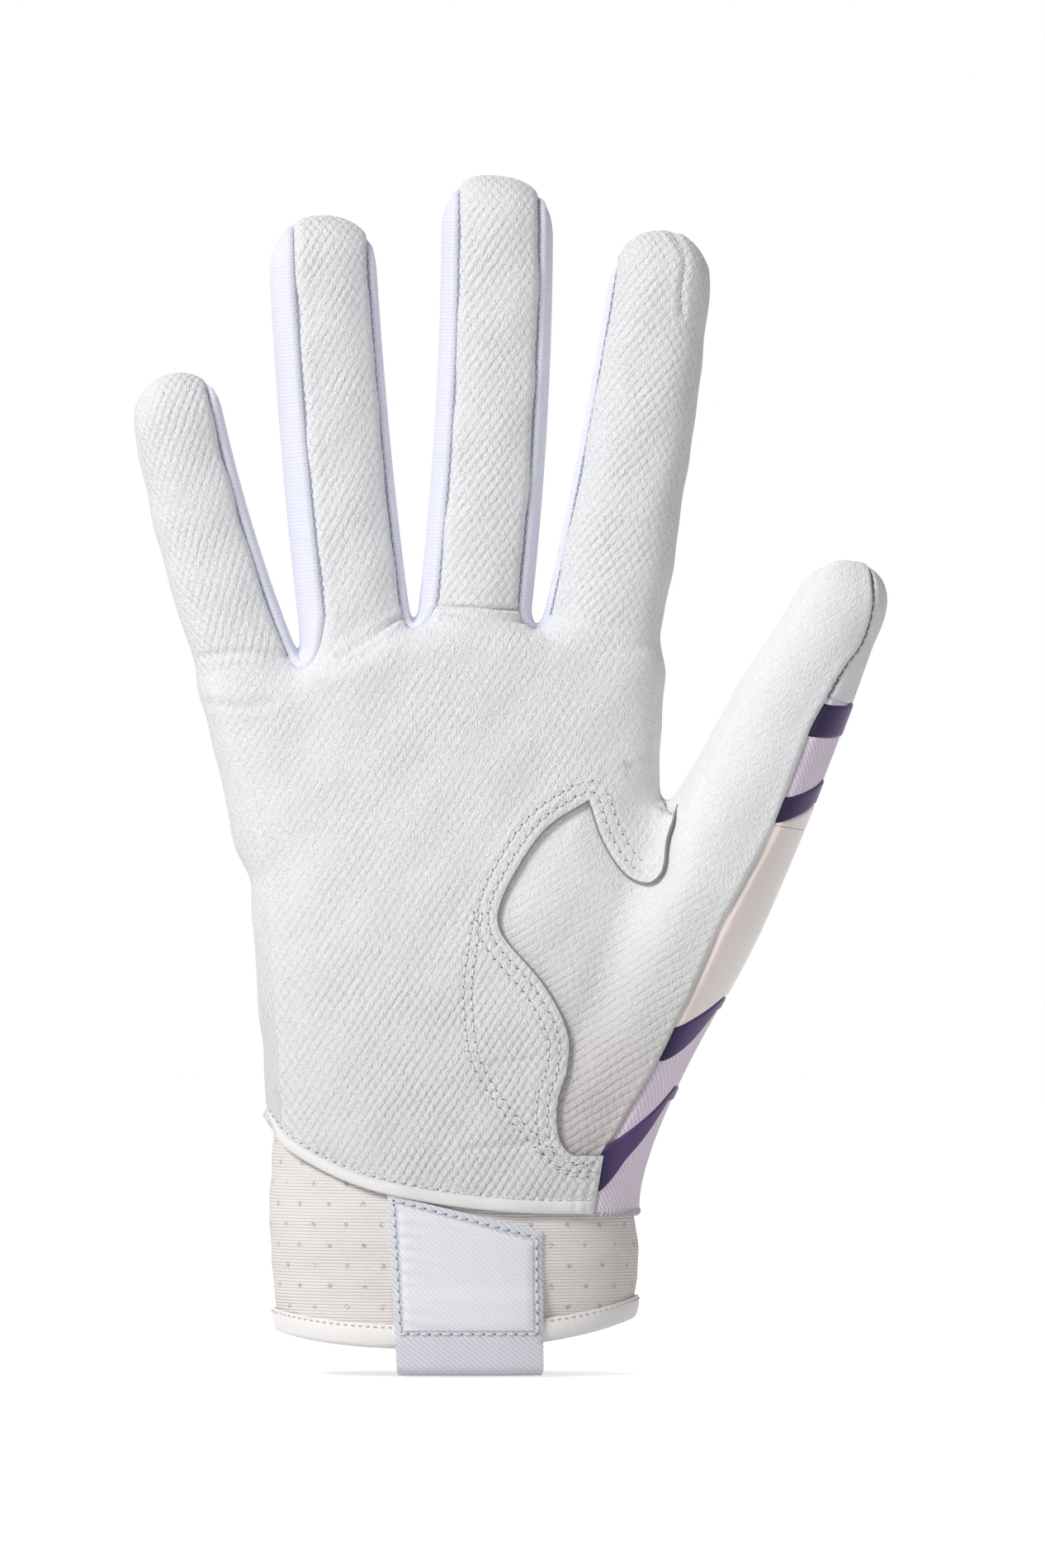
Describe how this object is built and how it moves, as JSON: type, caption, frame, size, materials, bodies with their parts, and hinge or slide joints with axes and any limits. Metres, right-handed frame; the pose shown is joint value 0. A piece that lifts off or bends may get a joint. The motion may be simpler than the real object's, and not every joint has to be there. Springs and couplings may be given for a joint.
{
  "type": "batting glove",
  "caption": "Right-hand batting glove of sewn leather and stretch panels with a knit slip-on cuff, bound wrist edge and folded pull tab; the digits flex at their roots.",
  "frame": {"origin": "centre of the cuff's mouth, where the hand goes in", "axes": "+Z from the wrist to the fingertips, +X to the thumb side, the palm faces -Y"},
  "size_m": [0.1464, 0.0462, 0.2336],
  "materials": {
    "white_leather": "soft sheepskin, matt, finely grained",
    "white_stretch": "smooth white stretch knit",
    "lavender_stretch": "ribbed lavender stretch knit",
    "cream_overlay": "smooth cream synthetic leather",
    "dark_film": "dark violet satin film",
    "cuff_knit": "perforated beige-grey stretch knit",
    "binding": "shiny off-white elastic binding",
    "grey_tape": "woven grey tape",
    "label": "plain white woven label"
  },
  "bodies": {
    "hand": {"palm_panel": "white_leather", "thumb_panel": "white_leather", "back_panel": "lavender_stretch", "palm_lining": "white_leather", "thumb_overlay": "cream_overlay", "wrist_band_upper": "dark_film", "wrist_band_lower": "dark_film", "web_little_ring": "white_stretch", "web_ring_middle": "white_stretch", "web_middle_index": "white_stretch", "cuff": "cuff_knit", "cuff_binding": "binding", "pull_tab_front": "grey_tape", "pull_tab_label": "label", "pull_tab_leaf": "grey_tape"},
    "little": {"little_front": "white_leather", "little_back": "white_stretch", "little_side": "white_stretch"},
    "ring": {"ring_front": "white_leather", "ring_back": "white_stretch", "ring_side_little": "white_stretch", "ring_side_middle": "white_stretch"},
    "middle": {"middle_front": "white_leather", "middle_back": "white_stretch", "middle_side_ring": "white_stretch", "middle_side_index": "white_stretch"},
    "index": {"index_front": "white_leather", "index_back": "white_stretch", "index_side": "white_stretch"},
    "thumb": {"thumb_front": "white_leather", "thumb_back": "lavender_stretch", "thumb_cap": "white_leather", "thumb_band_upper": "dark_film", "thumb_band_lower": "dark_film"},
    "pull_tab": {"pull_tab_loop": "grey_tape"}
  },
  "joints": [
    {"name": "little_flex", "type": "hinge", "parent": "hand", "child": "little", "pos_m": [-0.0404, -0.0086, 0.1286], "axis": [0.965, 0, 0.2622], "range_deg": [0, 90]},
    {"name": "ring_flex", "type": "hinge", "parent": "hand", "child": "ring", "pos_m": [-0.0199, -0.009, 0.1386], "axis": [0.9972, 0, 0.075], "range_deg": [0, 90]},
    {"name": "middle_flex", "type": "hinge", "parent": "hand", "child": "middle", "pos_m": [0.0038, -0.0095, 0.14], "axis": [0.9987, 0, -0.0506], "range_deg": [0, 90]},
    {"name": "index_flex", "type": "hinge", "parent": "hand", "child": "index", "pos_m": [0.0288, -0.0093, 0.137], "axis": [0.9877, 0, -0.1564], "range_deg": [0, 90]},
    {"name": "thumb_flex", "type": "hinge", "parent": "hand", "child": "thumb", "pos_m": [0.05518, -0.0178, 0.09859], "axis": [0.9888, 0, -0.1495], "range_deg": [0, 50]},
    {"name": "pull_tab_fold", "type": "hinge", "parent": "hand", "child": "pull_tab", "pos_m": [0.0025, -0.0241, -0.003], "axis": [-1, 0, 0], "range_deg": [0, 90]}
  ]
}
